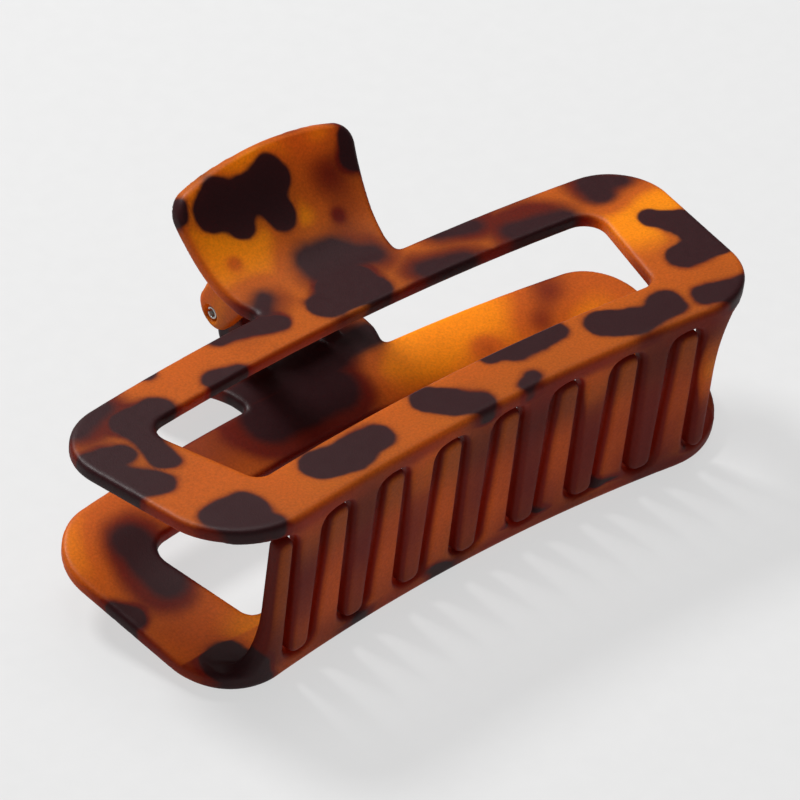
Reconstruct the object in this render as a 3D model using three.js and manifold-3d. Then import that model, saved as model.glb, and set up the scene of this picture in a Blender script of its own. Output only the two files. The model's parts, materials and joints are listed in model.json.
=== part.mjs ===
// Rectangular claw hair clip, lying closed on its side.
// Two moulded open-frame jaws turn on one hollow pin, and a torsion spring holds them shut.
// Millimetres, +X along the clip, +Y towards the hinge and handles, -Y towards the teeth, +Z up.
import * as THREE from 'three';
import { mergeVertices } from 'three/addons/utils/BufferGeometryUtils.js';
import Module from 'manifold-3d';

const wasm = await Module();
wasm.setup();

// ---- driving dimensions (mm); a jaw is drawn with the hinge axis on the X axis ----

const SHEET = 2.5;                 // wall thickness of a jaw
const FRONT_Y = -50.1;             // outer face of the comb wall, at the middle of the clip
const BACK_Y = -12.4;              // back edge of the frame, at the middle of the clip
const BOW_RADIUS = 314.7;          // the comb wall is bowed along the clip on this radius
const HALF_ANGLE = 8.97;           // degrees of that bow from the middle to each end
const FRONT_CORNER = 12.6;         // at the end where the comb starts with a gap
const TOOTH_END_CORNER = 10.8;      // at the end where it stops with a tooth
const BACK_CORNER = 9.8;
const EDGE_ROUND = 0.5;

const BACK_HEIGHT = 10.1;          // outer face of the frame above the hinge plane, at its back edge
const FRAME_SLOPE = 0.118;         // the frame rises by this much per mm towards the comb
const BEND_ROUND = 1;              // outer rounding where the frame bends into the comb wall
const BEND_INSIDE = 0.6;

const UPPER_BACK_RAIL = 8.4;       // rails around the opening of the frame
const LOWER_BACK_RAIL = 10.6;
const UPPER_FRONT_RAIL = 10.1;
const LOWER_FRONT_RAIL = 8.8;
const OPENING_BACK_HALF_ANGLE = 6.99;
const OPENING_FRONT_HALF_ANGLE = 6.45;
const OPENING_FRONT_CORNER = 1.8;
const OPENING_BACK_CORNER = 4;

const TEETH = 8;                   // per jaw, set between those of the other jaw
const FIRST_TOOTH_SHIFT = 1.5;     // in steps; centred teeth would have 1, this puts both rows side by side
const TOOTH_STEP = 5.37;           // from a tooth to its neighbour on the other jaw
const TOOTH_BASE_HALF = 2.55;
const TOOTH_TIP_HALF = 1.95;
const TOOTH_TIP_Z = -12.8;
const TOOTH_TIP_ROUND = 1.5;
const NOTCH_TOP_Z = 11.9;
const NOTCH_ROUND = 2.7;
const COMB_END_X = 46.8;           // the comb wall stops here at both ends
const COMB_ZONE_BACK = 5;          // how far behind the face of the comb the frame becomes a flat plate
const END_TOOTH_TRIM = 0.9;        // the last tooth is cut back on its outer side
const END_FLARE_Z = 0.5;           // and widens from here in one curve to the end of the comb

const HANDLE_BEND_1 = { radius: 15.5, turn: 34 };      // the handle curves up in two arcs
const HANDLE_BEND_2 = { radius: 23, turn: 35.5 };
const HANDLE_OVERLAP = 5;          // straight start, inside the back rail
const HANDLE_TIP_RISE = 3.2;       // the tip is arched by this much
const HANDLE_TIP_CORNER = 2.6;
const HANDLE_SIDES = [             // at each distance behind the frame, how far both sides reach along X
  { behind: -HANDLE_OVERLAP, left: 12.3, right: 12.9 },
  { behind: 0, left: 12.7, right: 13.1 },
  { behind: 3, left: 13.7, right: 13.6 },
  { behind: 8, left: 14.4, right: 15 },
  { behind: 12, left: 14.7, right: 16.3 },
  { behind: 15, left: 14.9, right: 17.3 },
  { behind: 17.5, left: 15.1, right: 18.2 },
  { behind: 20, left: 15.4, right: 19 },
];

const EAR_WIDTH = 2.4;
const UPPER_EAR_X = 9.7;           // middle of an ear on the upper jaw, outside
const LOWER_EAR_X = 6.9;           // and on the lower jaw, inside
const EAR_ROUND = { y: -0.6, z: 1.2, radius: 3.35, from: 208, to: 372 };    // its round end, degrees
const EAR_FRONT = { y: -9.2, z: 8.8 };         // where its two edges run into the handle
const EAR_BACK = { y: -0.9, z: 11.2 };
const PIN_HOLE_RADIUS = 1.35;

const PIN_RADIUS = 1.05;
const PIN_BORE_RADIUS = 0.62;
const PIN_SLIT_ANGLE = 18;
const PIN_LENGTH = 21.2;

const WIRE_RADIUS = 0.42;
const COIL_RADIUS = 2.6;
const COIL_TURNS = 8;
const COIL_LENGTH = 8.6;
const LEG_X = 4.8;
const LEG_POINTS = [[-1.3, 4.6], [-0.6, 8.0], [0.6, 9.9], [2.4, 11.5], [4.6, 13.1]];  // y, z, upper leg

const LOWER_JAW_TURN = 1.4;         // degrees the lower jaw stands further open than the upper
const REST_TILT = 5.38;            // degrees the clip leans so that a handle and the comb touch the table

const TORTOISE = { color: 0x9a4a1c, roughness: 0.5, metalness: 0 };
const DARK_TORTOISE = { color: 0x6e2f14, roughness: 0.5, metalness: 0 };
const STEEL = { color: 0xb9bcc0, roughness: 0.3, metalness: 1 };

const HEADROOM = 40;               // reach of the solids that only cut or trim
const CURVE_STEPS = 6;             // straight pieces in each curve of an outline
const FINE_STEPS = 12;
const BEVEL_STEPS = 3;
const WIRE_STEPS = 4;
const COIL_STEPS = 14;             // per turn of the spring
const WELD = 1e-4;
const CENTRE_Y = FRONT_Y - BOW_RADIUS;         // centre of the bow, far in front of the clip
const BACK_RADIUS = BACK_Y - CENTRE_Y;
const { degToRad } = THREE.MathUtils;

// ---- solids: three.js geometry in, manifold-3d to join and cut, three.js geometry out ----

function solid(geometry) {
  const plain = geometry.clone();
  plain.deleteAttribute('normal');
  plain.deleteAttribute('uv');
  const merged = mergeVertices(plain, WELD);
  const mesh = new wasm.Mesh({
    numProp: 3,
    vertProperties: Float32Array.from(merged.attributes.position.array),
    triVerts: Uint32Array.from(merged.index.array),
  });
  return new wasm.Manifold(mesh);
}

function toGeometry(manifold) {
  const mesh = manifold.getMesh();
  const geometry = new THREE.BufferGeometry();
  geometry.setAttribute('position', new THREE.BufferAttribute(Float32Array.from(mesh.vertProperties), 3));
  geometry.setIndex(new THREE.BufferAttribute(Uint32Array.from(mesh.triVerts), 1));
  const faceted = geometry.toNonIndexed();
  faceted.computeVertexNormals();
  return faceted;
}

function extrude(shape, depth, curveSegments = CURVE_STEPS) {
  return new THREE.ExtrudeGeometry(shape, { depth, curveSegments, steps: 1, bevelEnabled: false });
}

// An outline drawn in side view (y, z), given thickness along X and centred on x.
function sideSlab(shape, thickness, x, curveSegments = CURVE_STEPS) {
  const geometry = extrude(shape, thickness, curveSegments);
  geometry.translate(0, 0, -thickness / 2);
  geometry.rotateX(Math.PI / 2);
  geometry.rotateZ(Math.PI / 2);
  geometry.translate(x, 0, 0);
  return solid(geometry);
}

// ---- plan outlines: a bowed rectangle between two radii, with straight sides and round corners ----

function bowedRectangle({
  frontRadius, backRadius, frontHalfAngle, backHalfAngle, leftCorner, rightCorner, backCorner,
}) {
  const quarter = Math.PI / 2;
  const frontEnd = new THREE.Vector2(Math.sin(degToRad(frontHalfAngle)), Math.cos(degToRad(frontHalfAngle)));
  const backEnd = new THREE.Vector2(Math.sin(degToRad(backHalfAngle)), Math.cos(degToRad(backHalfAngle)));
  const front = frontEnd.multiplyScalar(frontRadius);
  const back = backEnd.multiplyScalar(backRadius);
  const half = Math.atan2(back.x - front.x, back.y - front.y);
  const offset = back.x * Math.cos(half) - back.y * Math.sin(half);
  const limit = (distance, corner) => half + Math.asin((offset - corner) / distance);
  const left = limit(frontRadius + leftCorner, leftCorner);
  const right = limit(frontRadius + rightCorner, rightCorner);
  const shape = new THREE.Shape();
  const corner = (distance, angle, radius, from, to) => {
    const x = distance * Math.cos(angle);
    const y = CENTRE_Y + distance * Math.sin(angle);
    shape.absarc(x, y, radius, from, to, false);
  };
  const backLimit = limit(backRadius - backCorner, backCorner);
  corner(backRadius - backCorner, quarter - backLimit, backCorner, -half, quarter - backLimit);
  shape.absarc(0, CENTRE_Y, backRadius, quarter - backLimit, quarter + backLimit, false);
  corner(backRadius - backCorner, quarter + backLimit, backCorner, quarter + backLimit, 2 * quarter + half);
  corner(frontRadius + leftCorner, quarter + left, leftCorner, 2 * quarter + half, 3 * quarter + left);
  shape.absarc(0, CENTRE_Y, frontRadius, quarter + left, quarter - right, true);
  corner(frontRadius + rightCorner, quarter - right, rightCorner, 3 * quarter - right, 4 * quarter - half);
  return shape;
}

// The outline of the frame, made smaller all round by an inset.
function frameOutline(inset) {
  const insetAngle = THREE.MathUtils.radToDeg(inset / (BOW_RADIUS + (BACK_Y - FRONT_Y) / 2));
  return bowedRectangle({
    frontRadius: BOW_RADIUS + inset,
    backRadius: BACK_RADIUS - inset,
    frontHalfAngle: HALF_ANGLE - insetAngle,
    backHalfAngle: HALF_ANGLE - insetAngle,
    leftCorner: FRONT_CORNER - inset,
    rightCorner: TOOTH_END_CORNER - inset,
    backCorner: BACK_CORNER - inset,
  });
}

// Slopes a flat solid so that its top face lies on the outer face of the frame.
const onFrame = new THREE.Matrix4().set(
  1, 0, 0, 0,
  0, 1, 0, 0,
  0, -FRAME_SLOPE, 1, BACK_HEIGHT + FRAME_SLOPE * BACK_Y,
  0, 0, 0, 1,
);

// ---- one jaw, teeth pointing down, hinge axis on the X axis ----

function framePlate(frontRail, backRail) {
  const outline = frameOutline(0);
  outline.holes.push(bowedRectangle({
    frontRadius: BOW_RADIUS + frontRail,
    backRadius: BACK_RADIUS - backRail,
    frontHalfAngle: OPENING_FRONT_HALF_ANGLE,
    backHalfAngle: OPENING_BACK_HALF_ANGLE,
    leftCorner: OPENING_FRONT_CORNER,
    rightCorner: OPENING_FRONT_CORNER,
    backCorner: OPENING_BACK_CORNER,
  }));
  const geometry = new THREE.ExtrudeGeometry(outline, {
    depth: SHEET - 2 * EDGE_ROUND,
    curveSegments: CURVE_STEPS,
    steps: 1,
    bevelThickness: EDGE_ROUND,
    bevelSize: EDGE_ROUND,
    bevelOffset: -EDGE_ROUND,
    bevelSegments: BEVEL_STEPS,
  });
  geometry.translate(0, 0, EDGE_ROUND - SHEET);
  return solid(geometry.applyMatrix4(onFrame));
}

// A block under the whole frame whose top edge is rounded, down past the tooth tips.
function frameBlock(inset, top, round) {
  const geometry = new THREE.ExtrudeGeometry(frameOutline(inset), {
    depth: HEADROOM,
    curveSegments: CURVE_STEPS,
    steps: 1,
    bevelThickness: round,
    bevelSize: round,
    bevelOffset: -round,
    bevelSegments: BEVEL_STEPS,
  });
  geometry.translate(0, 0, top - HEADROOM - round);
  return solid(geometry.applyMatrix4(onFrame));
}

// The comb in front view (x, z): a band along the top and eight tapered teeth with round tips.
function combShape() {
  const shape = new THREE.Shape();
  shape.moveTo(-COMB_END_X, HEADROOM);
  shape.lineTo(-COMB_END_X, NOTCH_TOP_Z);
  const tipCentreZ = TOOTH_TIP_Z + TOOTH_TIP_ROUND;
  const notchCentreZ = NOTCH_TOP_Z - NOTCH_ROUND;
  for (let k = 0; k < TEETH; k += 1) {
    const x = (2 * k - TEETH + FIRST_TOOTH_SHIFT) * TOOTH_STEP;
    const last = k === TEETH - 1;
    const trim = last ? END_TOOTH_TRIM : 0;
    const left = x - TOOTH_TIP_HALF + TOOTH_TIP_ROUND;
    const right = x + TOOTH_TIP_HALF - trim - TOOTH_TIP_ROUND;
    shape.absarc(x - TOOTH_BASE_HALF - NOTCH_ROUND, notchCentreZ, NOTCH_ROUND, Math.PI / 2, 0, true);
    shape.absarc(left, tipCentreZ, TOOTH_TIP_ROUND, Math.PI, 1.5 * Math.PI, false);
    shape.absarc(right, tipCentreZ, TOOTH_TIP_ROUND, 1.5 * Math.PI, 2 * Math.PI, false);
    if (last) {
      const outerSide = x + TOOTH_TIP_HALF - trim;
      shape.lineTo(outerSide, END_FLARE_Z);
      shape.quadraticCurveTo(outerSide, NOTCH_TOP_Z, COMB_END_X, NOTCH_TOP_Z);
    } else {
      shape.absarc(x + TOOTH_BASE_HALF + NOTCH_ROUND, notchCentreZ, NOTCH_ROUND, Math.PI, Math.PI / 2, true);
    }
  }
  shape.lineTo(COMB_END_X, HEADROOM);
  return shape;
}

// The part of the frame that bends down into the comb: the shell's solid and the zone it fills.
function combWall() {
  const zoneBack = FRONT_Y + COMB_ZONE_BACK;
  const zone = new THREE.BoxGeometry(2 * COMB_END_X, HEADROOM, 2 * HEADROOM);
  zone.translate(0, zoneBack - HEADROOM / 2, 0);
  const prism = extrude(combShape(), HEADROOM);
  prism.rotateX(Math.PI / 2);
  prism.translate(0, zoneBack, 0);
  const shell = frameBlock(0, 0, BEND_ROUND).subtract(frameBlock(SHEET, -SHEET, BEND_INSIDE));
  return { wall: shell.intersect(solid(prism)).intersect(solid(zone)), zone: solid(zone) };
}

// ---- the handle: the frame's sheet carried on behind the hinge and curved up ----

// Places on the top face of the handle: the start of each arc, its centre and its end.
function handleArcs() {
  const arcs = [];
  let angle = -Math.atan(FRAME_SLOPE);
  let y = BACK_Y;
  let z = BACK_HEIGHT;
  for (const bend of [HANDLE_BEND_1, HANDLE_BEND_2]) {
    const centreY = y - bend.radius * Math.sin(angle);
    const centreZ = z + bend.radius * Math.cos(angle);
    const end = angle + degToRad(bend.turn);
    arcs.push({ y: centreY, z: centreZ, radius: bend.radius, from: angle, to: end });
    angle = end;
    y = centreY + bend.radius * Math.sin(angle);
    z = centreZ - bend.radius * Math.cos(angle);
  }
  return { arcs, tipY: y, tipZ: z, tipAngle: angle };
}

function handleProfile() {
  const { arcs } = handleArcs();
  const slope = Math.atan(FRAME_SLOPE);
  const startY = BACK_Y - HANDLE_OVERLAP;
  const startZ = BACK_HEIGHT + FRAME_SLOPE * HANDLE_OVERLAP;
  const quarter = Math.PI / 2;
  const shape = new THREE.Shape();
  shape.moveTo(startY, startZ);
  shape.lineTo(startY - SHEET * Math.sin(slope), startZ - SHEET * Math.cos(slope));
  for (const arc of arcs) {
    shape.absarc(arc.y, arc.z, arc.radius + SHEET, arc.from - quarter, arc.to - quarter, false);
  }
  for (const arc of [...arcs].reverse()) {
    shape.absarc(arc.y, arc.z, arc.radius, arc.to - quarter, arc.from - quarter, true);
  }
  return shape;
}

// The tip's outline, in the plane of the sheet at the tip: an arch with rounded corners.
function handleTipOutline() {
  const { left, right } = HANDLE_SIDES.at(-1);
  const middle = (right - left) / 2;
  const half = (right + left) / 2;
  const archRadius = (half * half + HANDLE_TIP_RISE * HANDLE_TIP_RISE) / (2 * HANDLE_TIP_RISE);
  const archAngle = Math.asin((half - HANDLE_TIP_CORNER) / archRadius);
  const archEndY = -archRadius + archRadius * Math.cos(archAngle);
  const shoulderY = -HANDLE_TIP_RISE - HANDLE_TIP_CORNER;
  const tip = new THREE.Shape();
  tip.moveTo(-left, -HEADROOM);
  tip.lineTo(right, -HEADROOM);
  tip.lineTo(right, shoulderY);
  tip.quadraticCurveTo(right, -HANDLE_TIP_RISE, right - HANDLE_TIP_CORNER, archEndY);
  tip.absarc(middle, -archRadius, archRadius, Math.PI / 2 - archAngle, Math.PI / 2 + archAngle, false);
  tip.quadraticCurveTo(-left, -HANDLE_TIP_RISE, -left, shoulderY);
  return tip;
}

function handle() {
  const sheet = sideSlab(handleProfile(), HEADROOM, 0);
  const rightSide = HANDLE_SIDES.map(({ behind, right }) => new THREE.Vector2(right, BACK_Y + behind));
  const leftSide = HANDLE_SIDES.map(({ behind, left }) => new THREE.Vector2(-left, BACK_Y + behind));
  const planPrism = extrude(new THREE.Shape([...rightSide, ...leftSide.reverse()]), HEADROOM);
  const { tipY, tipZ, tipAngle } = handleArcs();
  const tipPrism = extrude(handleTipOutline(), HEADROOM);
  tipPrism.translate(0, 0, -HEADROOM / 2);
  tipPrism.rotateX(tipAngle);
  tipPrism.translate(0, tipY, tipZ);
  return sheet.intersect(solid(planPrism)).intersect(solid(tipPrism));
}

// An ear hangs from the underside of the handle and holds the pin.
function ear(x) {
  const { y, z, radius, from, to } = EAR_ROUND;
  const shape = new THREE.Shape();
  shape.moveTo(EAR_FRONT.y, EAR_FRONT.z);
  shape.absarc(y, z, radius, degToRad(from), degToRad(to), false);
  shape.lineTo(EAR_BACK.y, EAR_BACK.z);
  const hole = new THREE.Path();
  hole.absarc(0, 0, PIN_HOLE_RADIUS, 0, 2 * Math.PI, true);
  shape.holes.push(hole);
  return sideSlab(shape, EAR_WIDTH, x, FINE_STEPS);
}

function jaw(earX, frontRail, backRail) {
  const { wall, zone } = combWall();
  const front = framePlate(frontRail, backRail).subtract(zone).add(wall);
  return toGeometry(front.add(handle()).add(ear(earX)).add(ear(-earX)));
}

// ---- hinge pin: a rolled steel tube with a slit ----

function hingePin() {
  const slit = degToRad(PIN_SLIT_ANGLE);
  const shape = new THREE.Shape();
  shape.absarc(0, 0, PIN_RADIUS, slit, 2 * Math.PI - slit, false);
  shape.absarc(0, 0, PIN_BORE_RADIUS, 2 * Math.PI - slit, slit, true);
  return toGeometry(sideSlab(shape, PIN_LENGTH, 0, FINE_STEPS));
}

// ---- torsion spring: a coil around the pin with one leg behind each handle ----

function springLeg(side) {
  return LEG_POINTS.map(([y, z]) => new THREE.Vector3(side * LEG_X, y, side * z));
}

function springCoil() {
  const count = COIL_TURNS * COIL_STEPS;
  return Array.from({ length: count + 1 }, (_, i) => {
    const along = i / count;
    const angle = Math.PI - along * COIL_TURNS * 2 * Math.PI;
    return new THREE.Vector3(
      (along - 0.5) * COIL_LENGTH,
      COIL_RADIUS * Math.cos(angle),
      COIL_RADIUS * Math.sin(angle),
    );
  });
}

function torsionSpring() {
  const section = new THREE.Shape();
  section.absarc(0, 0, WIRE_RADIUS, 0, 2 * Math.PI, false);
  const points = [...springLeg(-1).reverse(), ...springCoil(), ...springLeg(1)];
  const geometry = new THREE.ExtrudeGeometry(section, {
    extrudePath: new THREE.CatmullRomCurve3(points, false, 'centripetal'),
    steps: points.length + COIL_STEPS,
    curveSegments: WIRE_STEPS,
    bevelEnabled: false,
  });
  return toGeometry(solid(geometry));
}

// ---- the clip ----

function part(name, geometry, finish) {
  const mesh = new THREE.Mesh(geometry, new THREE.MeshStandardMaterial(finish));
  mesh.name = name;
  return mesh;
}

const upperJaw = part('upper_jaw', jaw(UPPER_EAR_X, UPPER_FRONT_RAIL, UPPER_BACK_RAIL), TORTOISE);
const lowerJaw = part('lower_jaw', jaw(LOWER_EAR_X, LOWER_FRONT_RAIL, LOWER_BACK_RAIL), DARK_TORTOISE);
// The lower jaw is turned over, so that its teeth fall between the others.
lowerJaw.rotation.set(degToRad(LOWER_JAW_TURN), Math.PI, 0);
const pin = part('hinge_pin', hingePin(), STEEL);
const spring = part('torsion_spring', torsionSpring(), STEEL);

const clip = new THREE.Group();
clip.add(upperJaw, lowerJaw, pin, spring);
clip.rotation.x = degToRad(REST_TILT);

// Stand the tilted clip on the table, with the middle of its box over the origin.
const group = new THREE.Group();
group.add(clip);
group.updateMatrixWorld(true);
const box = new THREE.Box3().setFromObject(group, true);
const middle = box.getCenter(new THREE.Vector3());
clip.position.set(-middle.x, -middle.y, -box.min.z);

export default group;
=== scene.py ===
import itertools
import json
import math

import bpy
import numpy as np
from mathutils import Matrix, Vector


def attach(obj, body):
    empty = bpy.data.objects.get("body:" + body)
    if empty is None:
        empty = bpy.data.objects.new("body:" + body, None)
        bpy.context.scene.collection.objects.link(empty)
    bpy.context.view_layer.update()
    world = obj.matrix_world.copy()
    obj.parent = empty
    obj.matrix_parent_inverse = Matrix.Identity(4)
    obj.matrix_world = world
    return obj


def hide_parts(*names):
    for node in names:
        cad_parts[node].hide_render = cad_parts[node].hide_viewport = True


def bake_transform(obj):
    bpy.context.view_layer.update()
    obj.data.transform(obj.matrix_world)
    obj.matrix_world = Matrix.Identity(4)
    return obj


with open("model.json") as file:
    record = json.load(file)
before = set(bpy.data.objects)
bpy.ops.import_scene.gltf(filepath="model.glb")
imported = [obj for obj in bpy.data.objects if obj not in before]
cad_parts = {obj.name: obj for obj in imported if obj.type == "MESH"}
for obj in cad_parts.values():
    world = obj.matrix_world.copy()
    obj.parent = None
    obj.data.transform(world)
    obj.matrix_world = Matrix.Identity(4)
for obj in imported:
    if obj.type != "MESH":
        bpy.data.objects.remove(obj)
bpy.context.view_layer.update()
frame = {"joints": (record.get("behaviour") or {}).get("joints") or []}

# A claw hair clip: a pair of moulded tortoiseshell jaws on a rolled pin, with a wound spring.
# Jaws are worked out in millimetres with the hinge axis on the X axis and the teeth pointing down,
# and then placed in the frame in metres.

MM = 0.001

# ---- dimensions shared with the CAD part (mm) ----

SHEET = 2.5
FRONT_Y = -50.1
BACK_Y = -12.4
BOW_RADIUS = 314.7
CENTRE_Y = FRONT_Y - BOW_RADIUS
HALF_ANGLE = math.radians(8.97)
FRONT_CORNER, TOOTH_END_CORNER, BACK_CORNER = 12.6, 10.8, 9.8
BACK_HEIGHT = 10.1
SLOPE = math.atan(0.118)
UPPER_FRONT_RAIL, UPPER_BACK_RAIL = 10.1, 8.4
LOWER_FRONT_RAIL, LOWER_BACK_RAIL = 8.8, 10.6
OPENING_FRONT_HALF, OPENING_BACK_HALF = math.radians(6.45), math.radians(6.99)
OPENING_FRONT_CORNER, OPENING_BACK_CORNER = 1.8, 4.0

TEETH = 8
TOOTH_STEP = 5.37
TOOTH_BASE_HALF, TOOTH_TIP_HALF = 2.55, 1.95
TOOTH_TIP_Z, NOTCH_TOP_Z = -12.8, 11.9
TOOTH_TIP_ROUND, NOTCH_ROUND = 1.6, 2.75
COMB_END_X = 46.8
COMB_ZONE_BACK = 5.0
END_TOOTH_TRIM = 0.9
END_FLARE_Z = 0.5

BENDS = ((15.5, math.radians(34)), (23.0, math.radians(35.5)))
HANDLE_OVERLAP = 5.0
TIP_RISE, TIP_CORNER = 3.2, 3.0
BEHIND = (-5, 0, 3, 8, 12, 15, 17.5, 20)
HANDLE_LEFT = (12.3, 12.7, 13.7, 14.4, 14.7, 14.9, 15.1, 15.4)
HANDLE_RIGHT = (12.9, 13.1, 13.6, 15.0, 16.3, 17.3, 18.2, 19.0)

EAR_WIDTH = 2.4
UPPER_EAR_X, LOWER_EAR_X = 9.7, 6.9
EAR_CENTRE, EAR_RADIUS = (-0.6, 1.2), 3.35
EAR_FRONT, EAR_BACK = (-9.2, 8.8), (-0.9, 11.2)
EAR_ARC = (math.radians(208), math.radians(372))
PIN_HOLE_RADIUS = 1.35

PIN_RADIUS, PIN_BORE, PIN_LENGTH = 1.05, 0.62, 21.2
PIN_SLIT = math.radians(18)
WIRE_RADIUS, COIL_RADIUS, COIL_TURNS, COIL_LENGTH = 0.42, 2.6, 8, 8.6
COIL_STEPS, LINE_PIECES, WIRE_STEPS = 14, 3, 12
LEG_X = 4.8
LEG_POINTS = ((-1.3, 4.6), (-0.6, 8.0), (0.6, 9.9), (2.4, 11.5), (4.6, 13.1))

LOWER_JAW_TURN = math.radians(1.4)
REST_TILT = math.radians(5.38)
HINGE = Vector(frame["joints"][0]["pos_m"])

# ---- finer shape than the CAD's (mm) ----

EDGE_ROUND = 0.8
BEND_ROUND = 1.3
BEND_RUN_OUT = 9.0
TOOTH_FACE_ROUND = 1.15
TOOTH_BACK_ROUND = 0.55
EAR_EDGE_ROUND = 0.45
INSIDE_FILLET = 1.1
ROOT_FILLET = 1.4
SWEEP_LEFT = 0.2                   # keeps the end tooth's flare from running off to level
BEND_BEHIND_COMB = 2               # how far behind the comb the front bend's rounding still acts
SKIN = 0.04                        # how far the surface stays inside the CAD's
METAL_SKIN = 0.01
GRID_STEP = 0.42
GRID_LOW, GRID_HIGH = (-56, -56, -13.5), (56, 9.5, 24)
SETTLE_ROUNDS, SLOPE_REACH = 3, 0.02
FLATTEST_SLOPE, LONGEST_MOVE = 0.3, 0.2


# ---- distance fields: negative inside, in mm ----

def rounded(a, b, radius):
    """The edge between two faces, rounded."""
    a, b = a + radius, b + radius
    outside = np.hypot(np.maximum(a, 0), np.maximum(b, 0))
    return outside + np.minimum(np.maximum(a, b), 0) - radius


def blended(a, b, width):
    """Two solids joined with a fillet."""
    h = np.maximum(width - np.abs(a - b), 0) / width
    return np.minimum(a, b) - h * h * width / 4


def bowed_rectangle(x, y, front_radius, back_radius, front_half, back_half, left, right, back):
    """A plan outline between two radii, with straight sides and round corners."""
    fx, fy = front_radius * math.sin(front_half), front_radius * math.cos(front_half)
    bx, by = back_radius * math.sin(back_half), back_radius * math.cos(back_half)
    length = math.hypot(bx - fx, by - fy)
    side = ((np.abs(x) - fx) * (by - fy) - (y - CENTRE_Y - fy) * (bx - fx)) / length
    radius = np.hypot(x, y - CENTRE_Y)
    front = front_radius - radius
    rear = radius - back_radius
    corner = np.where(front > rear, np.where(x > 0, right, left), back)
    return rounded(side, np.maximum(front, rear), corner)


def arcs():
    """The handle's arcs: centre, radius, start angle, end angle and length before it; and its tip."""
    found = []
    angle, y, z, run = -SLOPE, BACK_Y, BACK_HEIGHT, 0.0
    for radius, turn in BENDS:
        cy, cz = y - radius * math.sin(angle), z + radius * math.cos(angle)
        found.append((cy, cz, radius, angle, angle + turn, run))
        angle += turn
        run += radius * turn
        y, z = cy + radius * math.sin(angle), cz - radius * math.cos(angle)
    return found, (y, z, angle)


ARCS, TIP = arcs()


def sheet_place(y, z):
    """How far above the sheet's outer face, and how far along it behind the frame."""
    above = (y - BACK_Y) * math.sin(SLOPE) + (z - BACK_HEIGHT) * math.cos(SLOPE)
    along = (y - BACK_Y) * math.cos(SLOPE) - (z - BACK_HEIGHT) * math.sin(SLOPE)
    for cy, cz, radius, start, _, run in ARCS:
        turn = np.arctan2(y - cy, cz - z)
        inside = turn > start
        above = np.where(inside, radius - np.hypot(y - cy, z - cz), above)
        along = np.where(inside, run + radius * (turn - start), along)
    return above, along


def handle_plan(x, y, z):
    """The handle in plan: its flaring sides and its arched tip."""
    behind = y - BACK_Y
    left, right = np.interp(behind, BEHIND, HANDLE_LEFT), np.interp(behind, BEHIND, HANDLE_RIGHT)
    side = np.maximum(x - right, -left - x)
    tip_y, tip_z, tip_angle = TIP
    middle = (HANDLE_RIGHT[-1] - HANDLE_LEFT[-1]) / 2
    half = (HANDLE_RIGHT[-1] + HANDLE_LEFT[-1]) / 2
    arch = (half * half + TIP_RISE * TIP_RISE) / (2 * TIP_RISE)
    past = (y - tip_y) * math.cos(tip_angle) + (z - tip_z) * math.sin(tip_angle)
    end = np.maximum(np.hypot(x - middle, past + arch) - arch, behind - BEHIND[-1])
    return np.maximum(rounded(side, end, TIP_CORNER), -HANDLE_OVERLAP - behind)


def comb_front(x, z):
    """The comb in front view: a band, and eight tapered teeth between round notches."""
    first, last = -(TEETH - 1.5) * TOOTH_STEP, (TEETH - 0.5) * TOOTH_STEP
    k = np.clip(np.round((x - first) / (2 * TOOTH_STEP)), 0, TEETH - 1)
    share = np.clip((z - TOOTH_TIP_Z) / (NOTCH_TOP_Z - TOOTH_TIP_Z), 0, 1)
    half = TOOTH_TIP_HALF + (TOOTH_BASE_HALF - TOOTH_TIP_HALF) * share
    side = np.abs(x - first - 2 * TOOTH_STEP * k) - half
    outer = last + TOOTH_TIP_HALF - END_TOOTH_TRIM
    sweep = 1 - np.sqrt(1 - np.clip((z - END_FLARE_Z) / (NOTCH_TOP_Z - END_FLARE_Z), 0, 1))
    lean = (COMB_END_X - outer) / (NOTCH_TOP_Z - END_FLARE_Z) * sweep / np.maximum(1 - sweep, SWEEP_LEFT)
    flare = (x - outer - (COMB_END_X - outer) * sweep ** 2) / np.hypot(1, lean)
    side = np.where(k == TEETH - 1, np.maximum(flare, last - x - half), side)
    notch = -rounded(-side, z - NOTCH_TOP_Z, NOTCH_ROUND)
    root = np.where(x > last, np.minimum(side, NOTCH_TOP_Z - z), notch)
    tooth = rounded(side, TOOTH_TIP_Z - z, TOOTH_TIP_ROUND)
    return np.maximum(np.where(z > 0, root, tooth), np.abs(x) - COMB_END_X)


def ear_side(y, z):
    """The ear from the side: a round lobe round the hinge, widening to its root in the handle."""
    cy, cz = EAR_CENTRE
    low = [(cy + EAR_RADIUS * math.cos(a), cz + EAR_RADIUS * math.sin(a)) for a in EAR_ARC]
    outline = [EAR_FRONT, *low, EAR_BACK]
    sides = []
    for (ay, az), (by, bz) in zip(outline, outline[1:] + outline[:1]):
        length = math.hypot(by - ay, bz - az)
        sides.append(((y - ay) * (bz - az) - (z - az) * (by - ay)) / length)
    return np.minimum(np.maximum.reduce(sides), np.hypot(y - cy, z - cz) - EAR_RADIUS)


def jaw_plan(x, y, z, front_rail, back_rail):
    """The frame's outline, and the whole sheet in plan: the frame round its opening, and the handle."""
    outline = bowed_rectangle(x, y, BOW_RADIUS, BACK_Y - CENTRE_Y, HALF_ANGLE, HALF_ANGLE,
                              FRONT_CORNER, TOOTH_END_CORNER, BACK_CORNER)
    opening = bowed_rectangle(x, y, BOW_RADIUS + front_rail, BACK_Y - CENTRE_Y - back_rail,
                              OPENING_FRONT_HALF, OPENING_BACK_HALF,
                              OPENING_FRONT_CORNER, OPENING_FRONT_CORNER, OPENING_BACK_CORNER)
    return outline, blended(np.maximum(outline, -opening), handle_plan(x, y, z), ROOT_FILLET)


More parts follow.
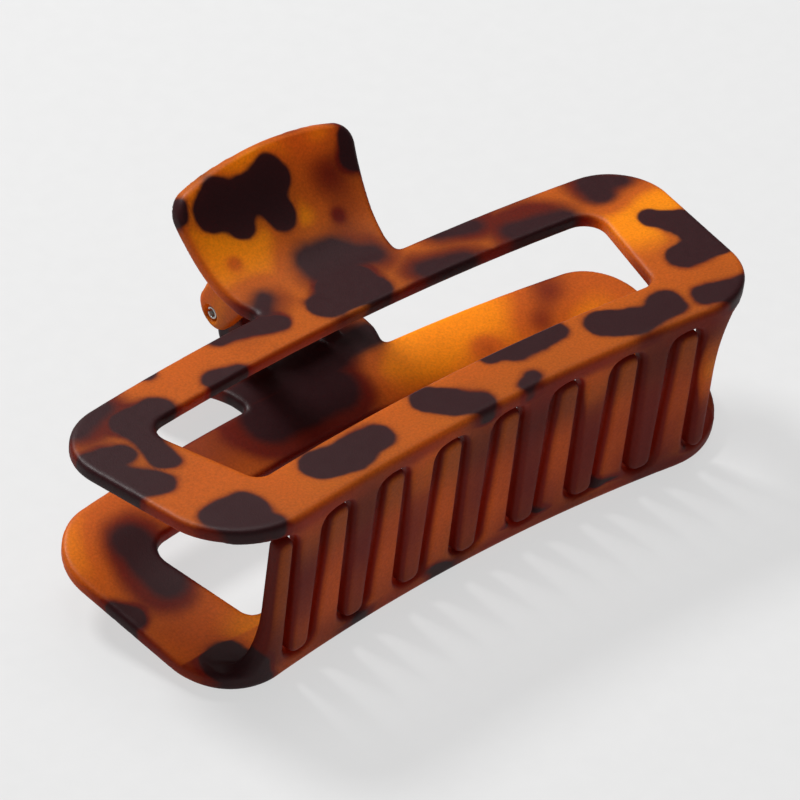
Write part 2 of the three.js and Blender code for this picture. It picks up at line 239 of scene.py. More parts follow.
def jaw_field(x, y, z, ear_x, front_rail, back_rail):
    """A whole jaw: the sheet, the comb's wall, the rounded bend between them, and the ears."""
    outline, plan = jaw_plan(x, y, z, front_rail, back_rail)
    above, _ = sheet_place(y, z)
    thickness = np.abs(above + SHEET / 2) - SHEET / 2
    sheet = rounded(plan, thickness, EDGE_ROUND)

    depth = np.maximum(outline, -SHEET - outline)
    face_round = np.where(outline > -SHEET / 2, TOOTH_FACE_ROUND, TOOTH_BACK_ROUND)
    wall = np.maximum(rounded(comb_front(x, z), depth, face_round), y - FRONT_Y - COMB_ZONE_BACK)
    front = blended(sheet, wall, INSIDE_FILLET)
    bend = EDGE_ROUND + (BEND_ROUND - EDGE_ROUND) * np.clip((COMB_END_X - np.abs(x)) / BEND_RUN_OUT, 0, 1)
    bent = np.maximum(front, rounded(outline, above, bend))
    solid = np.where(y < FRONT_Y + COMB_ZONE_BACK + BEND_BEHIND_COMB, bent, sheet)

    across = np.abs(np.abs(x) - ear_x) - EAR_WIDTH / 2
    ear = rounded(ear_side(y, z), across, EAR_EDGE_ROUND)
    solid = np.where(y > BACK_Y, blended(solid, ear, INSIDE_FILLET), solid)
    return np.maximum(solid, PIN_HOLE_RADIUS - np.hypot(y, z)) + SKIN


# ---- a field's surface as a mesh ----

def surface_net(field, low, high, step):
    """Vertices on the field's surface and the quads between them."""
    axes = [np.arange(a, b + step, step, dtype=np.float32) for a, b in zip(low, high)]
    values = field(*np.meshgrid(*axes, indexing="ij"))
    inside = values < 0
    cell = tuple(n - 1 for n in inside.shape)
    corners = list(itertools.product((0, 1), repeat=3))
    count = sum(inside[i:cell[0] + i, j:cell[1] + j, k:cell[2] + k].astype(np.int8) for i, j, k in corners)
    active = (count > 0) & (count < 8)
    cells = np.argwhere(active)
    index = np.full(cell, -1, np.int64)
    index[active] = np.arange(len(cells))
    total = np.zeros((len(cells), 3))
    hits = np.zeros(len(cells))
    unit = np.eye(3, dtype=int)
    for axis in range(3):
        for corner in corners:
            if corner[axis]:
                continue
            a = cells + np.array(corner)
            b = a + unit[axis]
            start, end = values[tuple(a.T)], values[tuple(b.T)]
            crosses = (start < 0) != (end < 0)
            share = np.where(crosses, start / np.where(crosses, start - end, 1), 0)
            total[crosses] += np.array(corner) + share[crosses, None] * unit[axis]
            hits += crosses
    points = np.array(low) + step * (cells + total / hits[:, None])
    quads = []
    for axis in range(3):
        u, v = unit[(axis + 1) % 3], unit[(axis + 2) % 3]
        first = tuple(slice(0, n - 1) if i == axis else slice(1, n - 1) for i, n in enumerate(inside.shape))
        second = tuple(slice(1, n) if i == axis else slice(1, n - 1) for i, n in enumerate(inside.shape))
        leaving = inside[first] & ~inside[second]
        entering = ~inside[first] & inside[second]
        offset = np.ones(3, int) - unit[axis]
        for where, flip in ((leaving, False), (entering, True)):
            p = np.argwhere(where) + offset
            ring = [index[tuple(q.T)] for q in (p - u - v, p - v, p, p - u)]
            quads.append(np.stack(ring[::-1] if flip else ring, 1))
    return points, np.concatenate(quads)


def slope_of(field, points):
    ahead = [field(*(points + SLOPE_REACH * d).T) for d in np.eye(3)]
    behind = [field(*(points - SLOPE_REACH * d).T) for d in np.eye(3)]
    return (np.stack(ahead, 1) - np.stack(behind, 1)) / (2 * SLOPE_REACH)


def settled(points, field):
    """The points moved onto the field's exact surface."""
    points = points.copy()
    for _ in range(SETTLE_ROUNDS):
        slope = slope_of(field, points)
        steepness = np.maximum((slope ** 2).sum(1), FLATTEST_SLOPE)
        move = np.clip(field(*points.T) / steepness, -LONGEST_MOVE, LONGEST_MOVE)
        points -= move[:, None] * slope
    return points


def mesh_object(name, points, faces, matrix):
    mesh = bpy.data.meshes.new(name)
    mesh.vertices.add(len(points))
    mesh.vertices.foreach_set("co", np.asarray(points, np.float32).ravel())
    mesh.loops.add(faces.size)
    mesh.loops.foreach_set("vertex_index", faces.ravel().astype(np.int32))
    mesh.polygons.add(len(faces))
    mesh.polygons.foreach_set("loop_start", np.arange(0, faces.size, faces.shape[1], dtype=np.int32))
    mesh.update(calc_edges=True)
    mesh.validate()
    mesh.transform(matrix)
    mesh.shade_smooth()
    obj = bpy.data.objects.new(name, mesh)
    bpy.context.scene.collection.objects.link(obj)
    return obj


TILT = Matrix.Translation(HINGE) @ Matrix.Rotation(REST_TILT, 4, "X") @ Matrix.Scale(MM, 4)
TURNED = TILT @ Matrix.Rotation(LOWER_JAW_TURN, 4, "X") @ Matrix.Rotation(math.pi, 4, "Y")

# ---- tortoiseshell and painted shade: dark blotches, and a few strokes of painted shade, as round-ended strokes, in mm ----
# A stroke is (from, to, radius). On the frame its ends are (x, y); on the handle (x, distance behind
# the frame); on the comb (x, z). Strokes in one group run together.

UPPER_FRAME = (
    (((-52, -25), (-48, -26), 2.0), ((-53, -28), (-51, -32), 2.6), ((-51, -32), (-48, -34), 2.4)),
    (((-46, -45), (-42, -45), 2.4), ((-45, -48), (-42, -47), 2.2), ((-43, -50), (-41, -51), 1.2)),
    (((-28, -45), (-24, -46), 3.0), ((-22, -45), (-18, -45), 2.4)),
    (((-7, -43), (-5, -45), 2.6), ((-5, -46), (-2, -48), 2.2)),
    (((10, -42), (17, -42), 2.0), ((6, -41), (9, -41), 1.0)),
    (((6, -49), (8, -48), 1.0),),
    (((24, -45), (27, -47), 2.8), ((28, -48), (34, -48), 1.9), ((34, -46), (35, -46), 1.6)),
    (((40, -49), (43, -50), 1.9), ((43, -50), (47, -50), 1.2)),
    (((47, -30), (49, -33), 1.9), ((50, -34), (50, -40), 2.8), ((44, -40), (49, -40), 2.5)),
    (((-43, -21), (-38, -21), 2.5), ((-43, -24), (-44, -31), 1.8)),
    (((-27, -21), (-24, -22), 2.0),),
    (((-34, -14), (-34, -13), 1.2),),
    (((-4, -17), (4, -18), 2.6), ((0, -14), (4, -14), 2.6)),
    (((-21, -13), (-15, -14), 1.8), ((-14, -15), (-12, -16), 1.6)),
)
UPPER_FRAME_SOFT = (
    (((-44, -16), (-50, -18), 2.1),),
    (((13, -19), (19, -21), 2.1),),
    (((20, -13), (25, -15), 1.9),),
    (((29, -20), (37, -22), 2.2),),
    (((45, -21), (46, -18), 2.2), ((46, -18), (50, -20), 1.8)),
)
UPPER_HANDLE = (
    (((-10, 18), (-8, 20), 2.0), ((-9, 17), (-1, 18), 2.4), ((-6, 14), (-5, 16), 1.9),
     ((-1, 17), (1, 13), 2.2), ((2, 20), (3, 18), 1.8)),
    (((-15, 19), (-15, 20), 1.5),),
    (((17, 19), (16, 16), 1.9),),
)
UPPER_HANDLE_SOFT = (
    (((1, 5), (5, 4), 2.6), ((5, 3), (9, 1), 2.4), ((1, 2), (3, 1), 2.8)),
    (((-12, 0), (-10, 2), 1.7),),
)
LOWER_FRAME = (
    (((51, -35), (53, -33), 1.8),),
    (((44, -48), (43, -51), 3.2),),
    (((23, -48), (29, -46), 3.0),),
    (((2, -45), (7, -48), 2.8),),
    (((-18, -46), (-14, -44), 2.7),),
    (((-37, -46), (-31, -48), 2.8),),
    (((-47, -42), (-50, -35), 2.8),),
)
LOWER_FRAME_SOFT_AND_SHADE = (
    (((43, -24), (43, -32), 3.2),),
    # painted shade on the back rail under the upper jaw's handle
    (((0, -16), (12, -16), 4.2),),
)
LOWER_HANDLE = (
    (((-6, 16), (1, 17), 3.0),),
    (((8, 11), (11, 14), 2.5),),
    (((-10, 9), (-9, 9), 2.3),),
)
# painted shade across the lower handle's root, under the upper jaw's handle
LOWER_HANDLE_PAINTED_SHADE = (
    (((-12, 2), (13, 2), 2.4), ((-3, 2), (3, 2), 3.8)),
)
UPPER_COMB = ()
LOWER_COMB = (
    (((19, 14), (22, 14), 1.3),),
    (((8, 13), (11, 13), 1.6),),
    (((-11, 13), (-6, 13), 2.2),),
    (((-25, 13), (-22, 12), 1.8),),
    (((-42, 13), (-39, 13), 1.7),),
    (((44, 11), (46, 13), 3.3),),
)

# Tone and painted light: where the colour is clearer and more amber (below zero) or redder and darker
# (above zero), as (x, place, radius, strength), with the place as above. Some patches are the plastic's own
# tone; others are painted backlit glow (amber) or painted shade (red), as marked.

UPPER_TONE = (
    (44, -30, 7, -1.1), (51, -28, 5, -0.8), (52, -42, 4, -0.8), (0, -21, 2.6, -0.8), (33, -16.5, 5, 1.1),
    (25, -13.5, 3, 0.7), (46, -19, 4, 0.6), (-45, -18, 5, 0.7), (-17, -15, 4, 0.4), (-20, -44, 3, 0.6),
    (-1, -45, 3, 0.5), (-39, -26, 3, -0.4), (-30, -30, 4, -0.3),
)
UPPER_HANDLE_PAINTED_LIGHT_AND_TONE = (
    # painted light: the amber patches on the handle's left are painted backlit glow, and the red ones on
    # its right painted shade
    (-8, 12, 7, -1.2), (-10, 21, 5, -1.0), (0, 22, 5, -1.0), (11, 15.5, 4.5, 1.1), (12, 9, 4, 0.5),
    # the first two are painted shadows of the ears, seen through the handle
    (-10, 9.3, 1.4, 1.3), (9.2, 9.3, 1.3, 1.0), (4, 11, 2.5, -0.8), (12, 21.5, 3, -0.8),
)
LOWER_TONE_AND_PAINTED_LIGHT = (
    # the first three are painted glow on the back rail, lit from behind
    (-15, -15, 7, -1.6), (-27, -15, 8, -1.5), (-42, -24, 7, -1.2), (-41, -18, 4, 1.0),
    (-36, -21.5, 3.5, 1.2), (-25.5, -21, 2.5, 1.2), (43.5, -24, 6, 0.6), (47, -31, 8, 0.5),
    # the last is painted shade on the back rail under the upper jaw's handle
    (38, -46, 5, -0.8), (28, -17, 9, 0.9), (32, -20, 4, -0.4), (50, -20, 8, -1.0), (8, -16, 11, 1.6),
    (-40, -44, 8, 0.5),
)
LOWER_HANDLE_TONE = ((0, 12, 9, 0.4),)
# patches near the top of the upper comb's teeth are painted glow where light comes through the plate
UPPER_COMB_TONE_AND_PAINTED_LIGHT = ((-13, 9, 4, -1.1), (18, 9, 4, -1.1), (40.5, 3, 5, -1.6), (-35, 9, 5, -0.5))
LOWER_COMB_TONE = (
    (-30, 13, 7, 0.6), (-10, 13, 7, 0.6), (12, 13, 8, 0.6), (30, 13, 8, 0.6), (42, 8, 7, 0.8),
)
# the comb's base redness; on the upper jaw it is painted shade, the teeth darker and redder below the lit
# plate
UPPER_COMB_PAINTED_SHADE, LOWER_COMB_DEPTH = 0.85, 0.25

SOFT_FAR = 50.0                    # a distance at which no blotch is seen
STROKE_FUSE, FAINTEST = 0.8, 1e-12
RIM_WIDTH, RIM_TONE = 1.0, 0.9     # edges look deeper in colour
SLOT_SHADE_WIDTH, SLOT_SHADE = 0.9, 1.6   # painted shade: the sides of the slots between the teeth are darker
WALL_ABOVE, WALL_BLEND = 0.6, 1.6  # where the frame's pattern gives way to the comb's
COMB_CLEARS = 3                    # how far the comb keeps back the frame's blotches


def stroke_distance(u, v, start, end, radius):
    across, up = end[0] - start[0], end[1] - start[1]
    share = ((u - start[0]) * across + (v - start[1]) * up) / (across * across + up * up)
    share = np.clip(share, 0, 1)
    return np.hypot(u - start[0] - share * across, v - start[1] - share * up) - radius


def blotch_distance(u, v, blotches):
    """How far each place is outside the nearest blotch, with a blotch's strokes run together."""
    nearest = np.full(len(u), SOFT_FAR)
    for strokes in blotches:
        total = sum(np.exp(-stroke_distance(u, v, *stroke) / STROKE_FUSE) for stroke in strokes)
        nearest = np.minimum(nearest, -STROKE_FUSE * np.log(np.maximum(total, FAINTEST)))
    return nearest


def tone_and_light_of(u, v, patches):
    tone_and_light = np.zeros(len(u))
    for a, b, radius, strength in patches:
        tone_and_light = tone_and_light + strength * np.exp(-((u - a) ** 2 + (v - b) ** 2) / radius ** 2)
    return tone_and_light


def set_attribute(obj, name, values):
    attribute = obj.data.attributes.new(name, "FLOAT", "POINT")
    attribute.data.foreach_set("value", np.asarray(values, np.float32))


def patches_behind_frame(patches):
    """Tone patches given by their distance behind the frame, in the frame's own y."""
    return tuple((x, BACK_Y + behind, *rest) for x, behind, *rest in patches)


def strokes_behind_frame(strokes):
    """A blotch's strokes given by their distance behind the frame, in the frame's own y."""
    return tuple(((ax, BACK_Y + a), (bx, BACK_Y + b), radius) for (ax, a), (bx, b), radius in strokes)


def jaw(name, body, ear_x, rails, matrix, pattern_and_light):
    """One jaw's moulding, with its pattern and its painted light and shade kept on its vertices for the
    material to read.
    """
    def field(x, y, z):
        return jaw_field(x, y, z, ear_x, *rails)

    points, quads = surface_net(field, GRID_LOW, GRID_HIGH, GRID_STEP)
    points = settled(points, field)
    obj = mesh_object(name + "_moulding", points, quads, matrix)
    x, y, z = points.T
    above, along = sheet_place(y, z)
    v = np.where(along > 0, BACK_Y + along, y)
    hard = blotch_distance(x, v, pattern_and_light["frame"] + tuple(map(strokes_behind_frame, pattern_and_light["handle"])))
    soft = blotch_distance(x, v, pattern_and_light["frame_soft"]
                           + tuple(map(strokes_behind_frame, pattern_and_light["handle_soft"])))
    wall = np.clip((-above - SHEET + WALL_ABOVE) / WALL_BLEND, 0, 1) * (y < FRONT_Y + COMB_ZONE_BACK)
    on_comb = blotch_distance(x, z, pattern_and_light["comb"])
    tone_and_light = tone_and_light_of(x, v, pattern_and_light["tone_and_light"] + patches_behind_frame(pattern_and_light["handle_tone_and_light"]))
    # on the upper jaw the comb's base redness is painted shade, and its patches near the top of the teeth
    # painted glow
    comb_tone_and_light = pattern_and_light["comb_depth_and_shade"] + tone_and_light_of(x, z, pattern_and_light["comb_tone_and_light"])
    _, plan = jaw_plan(x, y, z, *rails)
    tone_and_light += RIM_TONE * np.clip(1 + plan / RIM_WIDTH, 0, 1) ** 2
    # painted shade along the slots between the teeth
    comb_tone_and_light += SLOT_SHADE * np.clip(1 + comb_front(x, z) / SLOT_SHADE_WIDTH, 0, 1) ** 2
    set_attribute(obj, "hard", hard + (np.minimum(on_comb, hard + COMB_CLEARS * wall) - hard) * wall)
    set_attribute(obj, "soft", soft + (SOFT_FAR - soft) * wall)
    set_attribute(obj, "tone_and_light", tone_and_light + (comb_tone_and_light - tone_and_light) * wall)
    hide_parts(name)
    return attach(obj, body)


# ---- materials: colours are linear ----

# the clear colours also give the painted backlit glow, and the red and dark ones the painted shade, as well
# as the plastic's own tone and blotches
SURFACE_AMBER, SURFACE_RED = (0.46, 0.105, 0.008), (0.11, 0.010, 0.003)
SURFACE_CLEAR_AND_GLOW, SURFACE_DARK = (0.84, 0.26, 0.002), (0.026, 0.0045, 0.006)
BODY_AMBER, BODY_RED = (0.82, 0.27, 0.010), (0.36, 0.035, 0.004)
BODY_CLEAR_AND_GLOW, BODY_DARK = (0.98, 0.53, 0.006), (0.06, 0.005, 0.004)
THROUGH_SHARE, DARK_BLOCKS = 0.5, 0.15        # the light let through, and what blotches take of it
WOBBLE, WOBBLE_PER_METRE = 1.4, 230.0         # mm by which a blotch's edge wanders
HARD_EDGE, SOFT_EDGE = (0.65, -0.05), (1.2, -1.0)
HALO, HALO_TONE = (5.0, 0.0), 0.9             # the redder plastic round a soft blotch
GLOW, GLOW_TONE = (1.6, 0.0), 0.7             # and close round a hard one
CLOUD, CLOUD_PER_METRE = 1.6, 40.0
TONE_RANGE = 1.2
GRAIN, GRAIN_LOW, GRAIN_PER_METRE = 0.5, 0.76, 2600.0
PLASTIC_SPECULAR = 0.2
PLASTIC_ROUGH, PLASTIC_ROUGH_SPREAD, PLASTIC_ROUGH_PER_METRE = 0.40, 0.14, 900.0
FROST_PER_METRE, FROST_STRENGTH, FROST_DEPTH = 5200.0, 0.25, 0.00012

PIN_TINT, PIN_STREAKS = (0.55, 0.53, 0.50), (120.0, 2500.0, 2500.0)
WIRE_TINT, WIRE_STREAKS = (0.60, 0.60, 0.60), (1800.0, 1800.0, 1800.0)
WORN_SHADE, WORN_RANGE, WORN_PER_METRE = 0.62, (0.35, 0.75), 700.0
STEEL_ROUGH, STEEL_ROUGH_SPREAD = 0.2, 0.28
DRAWN_STRENGTH, DRAWN_DEPTH = 0.3, 0.00004


def node_material(name):
    material = bpy.data.materials.new(name)
    material.use_nodes = True
    tree = material.node_tree
    return material, tree, tree.nodes["Principled BSDF"]


def add(tree, kind, inputs=(), **settings):
    node = tree.nodes.new(kind)
    for key, value in settings.items():
        setattr(node, key, value)
    for key, value in dict(inputs).items():
        if isinstance(value, bpy.types.NodeSocket):
            tree.links.new(value, node.inputs[key])
        else:
            node.inputs[key].default_value = value
    return node


def maths(tree, operation, a, b=0.0, c=0.0):
    return add(tree, "ShaderNodeMath", {0: a, 1: b, 2: c}, operation=operation).outputs[0]


def step_between(tree, value, start, end):
    ends = {0: value, 1: start, 2: end, 3: 0.0, 4: 1.0}
    node = add(tree, "ShaderNodeMapRange", ends, interpolation_type="SMOOTHSTEP")
    return node.outputs[0]


def mixed(tree, share, a, b, kind="MIX"):
    node = add(tree, "ShaderNodeMix", data_type="RGBA", blend_type=kind)
    for key, value in ((0, share), (6, a), (7, b)):
        if isinstance(value, bpy.types.NodeSocket):
            tree.links.new(value, node.inputs[key])
        else:
            node.inputs[key].default_value = (*value, 1) if key else value
    return node.outputs[2]


def noise(tree, place, per_metre, detail=2.0):
    node = add(tree, "ShaderNodeTexNoise", {"Vector": place, "Scale": per_metre, "Detail": detail})
    return node.outputs["Fac"]


def attribute(tree, name):
    return add(tree, "ShaderNodeAttribute", attribute_name=name).outputs["Fac"]


def tortoise_material():
    material, tree, shader = node_material("tortoise_plastic")
    place = add(tree, "ShaderNodeTexCoord").outputs["Object"]
    wobble = maths(tree, "MULTIPLY_ADD", noise(tree, place, WOBBLE_PER_METRE), WOBBLE, -WOBBLE / 2)
    hard_distance = maths(tree, "ADD", attribute(tree, "hard"), wobble)
    soft_distance = maths(tree, "ADD", attribute(tree, "soft"), wobble)
    hard = step_between(tree, hard_distance, *HARD_EDGE)
    soft = step_between(tree, soft_distance, *SOFT_EDGE)
    dark_share = maths(tree, "MAXIMUM", hard, soft)
    halo = step_between(tree, soft_distance, *HALO)
    edge_glow = step_between(tree, hard_distance, *GLOW)

    cloud = maths(tree, "MULTIPLY_ADD", noise(tree, place, CLOUD_PER_METRE), CLOUD, -CLOUD / 2)
    tone_and_light = maths(tree, "ADD", attribute(tree, "tone_and_light"), cloud)
    tone_and_light = maths(tree, "MULTIPLY_ADD", halo, HALO_TONE, tone_and_light)
    tone_and_light = maths(tree, "MULTIPLY_ADD", edge_glow, GLOW_TONE, tone_and_light)
    # tone above zero is the plastic's redder tone and painted shade; below zero, its clearer tone and
    # painted backlit glow
    redder = step_between(tree, tone_and_light, 0.0, TONE_RANGE)
    clearer_and_lit = step_between(tree, tone_and_light, 0.0, -TONE_RANGE)
    grain = maths(tree, "MULTIPLY_ADD", noise(tree, place, GRAIN_PER_METRE, 1.0), GRAIN, GRAIN_LOW)
    shade = add(tree, "ShaderNodeCombineXYZ", {0: grain, 1: grain, 2: grain}).outputs[0]

    surface = mixed(tree, redder, SURFACE_AMBER, SURFACE_RED)
    surface = mixed(tree, clearer_and_lit, surface, SURFACE_CLEAR_AND_GLOW)
    surface = mixed(tree, dark_share, surface, SURFACE_DARK)
    surface = mixed(tree, 1.0, surface, shade, "MULTIPLY")
    tree.links.new(surface, shader.inputs["Base Color"])
    shader.inputs["Specular IOR Level"].default_value = PLASTIC_SPECULAR
    rough = noise(tree, place, PLASTIC_ROUGH_PER_METRE)
    rough = maths(tree, "MULTIPLY_ADD", rough, PLASTIC_ROUGH_SPREAD, PLASTIC_ROUGH)
    tree.links.new(rough, shader.inputs["Roughness"])
    frost = noise(tree, place, FROST_PER_METRE)
    bump = {"Height": frost, "Strength": FROST_STRENGTH, "Distance": FROST_DEPTH}
    bump = add(tree, "ShaderNodeBump", bump)
    tree.links.new(bump.outputs[0], shader.inputs["Normal"])

    body = mixed(tree, redder, BODY_AMBER, BODY_RED)
    body = mixed(tree, clearer_and_lit, body, BODY_CLEAR_AND_GLOW)
    body = mixed(tree, dark_share, body, BODY_DARK)
    body = mixed(tree, 1.0, body, shade, "MULTIPLY")
    through = add(tree, "ShaderNodeBsdfTranslucent", {"Color": body, "Normal": bump.outputs[0]})
    share = maths(tree, "MULTIPLY_ADD", dark_share, -DARK_BLOCKS, THROUGH_SHARE)
    both = add(tree, "ShaderNodeMixShader", {0: share, 1: shader.outputs[0], 2: through.outputs[0]})
    tree.links.new(both.outputs[0], tree.nodes["Material Output"].inputs["Surface"])
    return material


def steel_material(name, tint, streak_scale):
    material, tree, shader = node_material(name)
    place = add(tree, "ShaderNodeTexCoord").outputs["Object"]
    stretched = add(tree, "ShaderNodeMapping", {"Vector": place, "Scale": streak_scale}).outputs[0]
    drawn = noise(tree, stretched, 1.0, 4.0)
    worn = step_between(tree, noise(tree, place, WORN_PER_METRE, 3.0), *WORN_RANGE)
    colour = mixed(tree, worn, tint, tuple(WORN_SHADE * c for c in tint))
    tree.links.new(colour, shader.inputs["Base Color"])
    shader.inputs["Metallic"].default_value = 1.0
    rough = maths(tree, "MULTIPLY_ADD", drawn, STEEL_ROUGH_SPREAD, STEEL_ROUGH)
    tree.links.new(rough, shader.inputs["Roughness"])
    bump = {"Height": drawn, "Strength": DRAWN_STRENGTH, "Distance": DRAWN_DEPTH}
    bump = add(tree, "ShaderNodeBump", bump)
    tree.links.new(bump.outputs[0], shader.inputs["Normal"])
    return material


# ---- pin and spring ----

PIN_CHAMFER = ((0.0, 0.14), (0.05, 0.05), (0.16, 0.0))   # in from the end, and down from the surface
PIN_MIDDLE, PIN_STEPS = 3.0, 56
WIRE_END = 0.8                     # the wire's ends are cut a little narrower


def ring_faces(rings, around):
    """Quads between rings of points, closed around."""
    first = np.arange(rings - 1)[:, None] * around
    here = np.arange(around)[None, :]
    after = (here + 1) % around
    corners = (first + here, first + after, first + around + after, first + around + here)
    return np.stack(np.broadcast_arrays(*corners), 2).reshape(-1, 4)


def pin_section(grow):
    """The rolled sheet's section (y, z), from one lip round the outside to the other and back inside."""
    outer = np.linspace(PIN_SLIT, 2 * math.pi - PIN_SLIT, PIN_STEPS)
    wide = PIN_RADIUS - grow
    narrow = PIN_BORE + grow
    outside = np.stack([wide * np.cos(outer), wide * np.sin(outer)], 1)
    inside = np.stack([narrow * np.cos(outer[::-1]), narrow * np.sin(outer[::-1])], 1)
    return np.concatenate([outside, inside])


def hinge_pin():
    half = PIN_LENGTH / 2
    places = [(-half + inward, grow) for inward, grow in PIN_CHAMFER]
    places += [(-PIN_MIDDLE, 0.0), (PIN_MIDDLE, 0.0)]
    places += [(half - inward, grow) for inward, grow in reversed(PIN_CHAMFER)]
    rings = []
    for x, grow in places:
        section = pin_section(grow + METAL_SKIN)
        rings.append(np.column_stack([np.full(len(section), x), section]))
    around = len(rings[0])
    sides = ring_faces(len(rings), around)
    i = np.arange(PIN_STEPS - 1)
    cap = np.stack([i, around - 1 - i, around - 2 - i, i + 1], 1)
    last = (len(rings) - 1) * around
    faces = np.concatenate([sides[:, ::-1], cap[:, ::-1], cap + last])
    return mesh_object("hinge_pin_rolled", np.concatenate(rings), faces, TILT)


def between(t, start, end, a, b):
    return ((end - t) * a + (t - start) * b) / (end - start)


def curve_through(points, pieces):
    """A centripetal curve through the points."""
    p = np.concatenate([2 * points[:1] - points[1:2], points, 2 * points[-1:] - points[-2:-1]])
    knots = np.concatenate([[0], np.cumsum(np.sqrt(np.linalg.norm(np.diff(p, axis=0), axis=1)))])
    found = []
    for i in range(1, len(p) - 2):
        for t in np.linspace(knots[i], knots[i + 1], pieces, endpoint=False):
            level, k = p[i - 1:i + 3], knots[i - 1:i + 3]
            for span in (1, 2):
                level = [between(t, k[j], k[j + span], level[j], level[j + 1]) for j in range(4 - span)]
            found.append(between(t, k[1], k[2], level[0], level[1]))
    return np.array(found + [points[-1]])


def spring_line():
    along = np.linspace(0, 1, COIL_TURNS * COIL_STEPS + 1)
    angle = math.pi - along * COIL_TURNS * 2 * math.pi
    across, up = COIL_RADIUS * np.cos(angle), COIL_RADIUS * np.sin(angle)
    coil = np.stack([(along - 0.5) * COIL_LENGTH, across, up], 1)
    legs = [np.array([(side * LEG_X, y, side * z) for y, z in LEG_POINTS]) for side in (-1, 1)]
    return curve_through(np.concatenate([legs[0][::-1], coil, legs[1]]), LINE_PIECES)


def torsion_spring():
    line = spring_line()
    around = WIRE_STEPS
    tangent = np.gradient(line, axis=0)
    tangent /= np.linalg.norm(tangent, axis=1)[:, None]
    angles = np.arange(around) * 2 * math.pi / around
    side = np.cross(tangent[0], (0, 0, 1.0))
    rings = []
    for i, (centre, along) in enumerate(zip(line, tangent)):
        side = side - along * (side @ along)
        side /= np.linalg.norm(side)
        up = np.cross(along, side)
        radius = (WIRE_RADIUS - METAL_SKIN) * (WIRE_END if i in (0, len(line) - 1) else 1.0)
        rings.append(centre + radius * (np.outer(np.cos(angles), side) + np.outer(np.sin(angles), up)))
    points = np.concatenate(rings + [line[:1], line[-1:]])
    sides = ring_faces(len(rings), around)
    here = np.arange(around)
    after = (here + 1) % around
    last = (len(rings) - 1) * around
    first_cap = np.stack([np.full(around, len(points) - 2), after, here], 1)
    last_cap = np.stack([np.full(around, len(points) - 1), last + here, last + after], 1)
    triangles = np.concatenate([sides[:, [0, 1, 2]], sides[:, [0, 2, 3]], first_cap, last_cap])
    return mesh_object("torsion_spring_wire", points, triangles, TILT)


# ---- the clip ----

UPPER_PATTERN_AND_LIGHT = {
    "frame": UPPER_FRAME, "frame_soft": UPPER_FRAME_SOFT,
    "handle": UPPER_HANDLE, "handle_soft": UPPER_HANDLE_SOFT, "comb": UPPER_COMB,
    "tone_and_light": UPPER_TONE, "handle_tone_and_light": UPPER_HANDLE_PAINTED_LIGHT_AND_TONE,
    "comb_tone_and_light": UPPER_COMB_TONE_AND_PAINTED_LIGHT, "comb_depth_and_shade": UPPER_COMB_PAINTED_SHADE,
}
LOWER_PATTERN_AND_LIGHT = {
    "frame": LOWER_FRAME, "frame_soft": LOWER_FRAME_SOFT_AND_SHADE,
    "handle": LOWER_HANDLE, "handle_soft": LOWER_HANDLE_PAINTED_SHADE, "comb": LOWER_COMB,
    "tone_and_light": LOWER_TONE_AND_PAINTED_LIGHT, "handle_tone_and_light": LOWER_HANDLE_TONE,
    "comb_tone_and_light": LOWER_COMB_TONE, "comb_depth_and_shade": LOWER_COMB_DEPTH,
}
UPPER_RAILS, LOWER_RAILS = (UPPER_FRONT_RAIL, UPPER_BACK_RAIL), (LOWER_FRONT_RAIL, LOWER_BACK_RAIL)

upper = jaw("upper_jaw", "upper_jaw", UPPER_EAR_X, UPPER_RAILS, TILT, UPPER_PATTERN_AND_LIGHT)
lower = jaw("lower_jaw", "lower_jaw", LOWER_EAR_X, LOWER_RAILS, TURNED, LOWER_PATTERN_AND_LIGHT)
tortoise = tortoise_material()
upper.data.materials.append(tortoise)
lower.data.materials.append(tortoise)

pin = hinge_pin()
pin.data.materials.append(steel_material("pin_steel", PIN_TINT, PIN_STREAKS))
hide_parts("hinge_pin")
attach(pin, "lower_jaw")

spring = torsion_spring()
spring.data.materials.append(steel_material("spring_steel", WIRE_TINT, WIRE_STREAKS))
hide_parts("torsion_spring")
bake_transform(spring)

# ---- floor, light and camera ----

FLOOR_SIZE, FLOOR_GLOW = 6, 0.6
PAPER_DARK, PAPER_LIGHT, PAPER_PER_METRE = (0.12, 0.12, 0.12), (0.14, 0.14, 0.14), 300.0
WORLD_STRENGTH = 0.2
WHITE = (1, 1, 1, 1)
LIGHTS_AIM = Vector((0, 0, 0.02))
CAMERA_AIM = Vector((0.0013, -0.0068, 0.0166))
CAMERA_DISTANCE = 0.75
CAMERA_ANGLES = (-41.31, 38.05, 2.06)         # azimuth, elevation and roll, in degrees
SENSOR_MM, LENS_MM = 36, 234.75

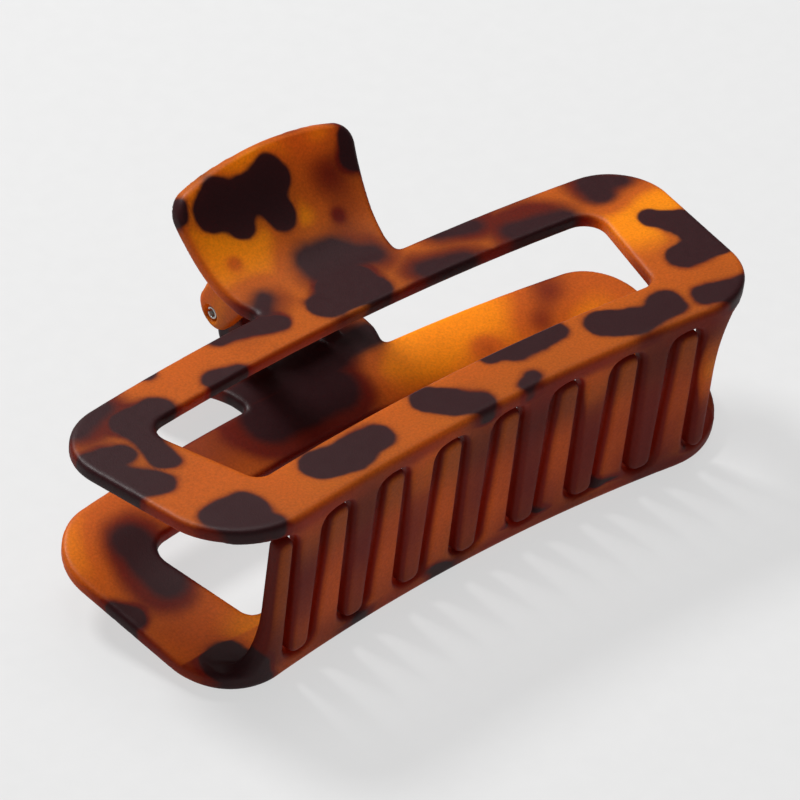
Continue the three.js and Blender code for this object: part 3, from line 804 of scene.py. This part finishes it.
bpy.ops.mesh.primitive_grid_add(x_subdivisions=8, y_subdivisions=8, size=FLOOR_SIZE)
floor = bpy.context.object
floor.name = "floor"
floor_material, floor_tree, floor_shader = node_material("floor_paper")
paper_place = add(floor_tree, "ShaderNodeTexCoord").outputs["Object"]
paper = noise(floor_tree, paper_place, PAPER_PER_METRE, 4.0)
paper = mixed(floor_tree, paper, PAPER_DARK, PAPER_LIGHT)
floor_tree.links.new(paper, floor_shader.inputs["Base Color"])
floor_shader.inputs["Roughness"].default_value = 0.8
floor_shader.inputs["Specular IOR Level"].default_value = 0.1
floor_shader.inputs["Emission Color"].default_value = WHITE
floor_shader.inputs["Emission Strength"].default_value = FLOOR_GLOW
floor.data.materials.append(floor_material)

world = bpy.data.worlds.new("studio")
world.use_nodes = True
world.node_tree.nodes["Background"].inputs[0].default_value = WHITE
world.node_tree.nodes["Background"].inputs[1].default_value = WORLD_STRENGTH
bpy.context.scene.world = world
bpy.context.scene.view_settings.view_transform = "Standard"


def area_light(name, place, size, watts):
    data = bpy.data.lights.new(name, "AREA")
    data.shape = "DISK"
    data.size = size
    data.energy = watts
    light = bpy.data.objects.new(name, data)
    light.location = place
    light.rotation_mode = "QUATERNION"
    light.rotation_quaternion = (LIGHTS_AIM - Vector(place)).to_track_quat("-Z", "Y")
    bpy.context.scene.collection.objects.link(light)


area_light("back_softbox", (-0.10, 0.62, 0.72), 0.26, 13.0)
area_light("top_softbox", (0.20, 0.15, 0.95), 0.6, 4.6)
area_light("front_fill", (-0.5, -0.9, 0.5), 0.8, 0.6)

camera_data = bpy.data.cameras.new("camera")
camera_data.sensor_width = SENSOR_MM
camera_data.lens = LENS_MM
camera_data.clip_start, camera_data.clip_end = 0.01, 20
camera = bpy.data.objects.new("camera", camera_data)
azimuth, elevation, roll = (math.radians(angle) for angle in CAMERA_ANGLES)
turn = Matrix.Rotation(azimuth, 3, "Z") @ Matrix.Rotation(math.pi / 2 - elevation, 3, "X")
turn = turn @ Matrix.Rotation(roll, 3, "Z")
place = CAMERA_AIM + CAMERA_DISTANCE * turn.col[2]
camera.matrix_world = Matrix.Translation(place) @ turn.to_4x4()
bpy.context.scene.collection.objects.link(camera)
bpy.context.scene.camera = camera
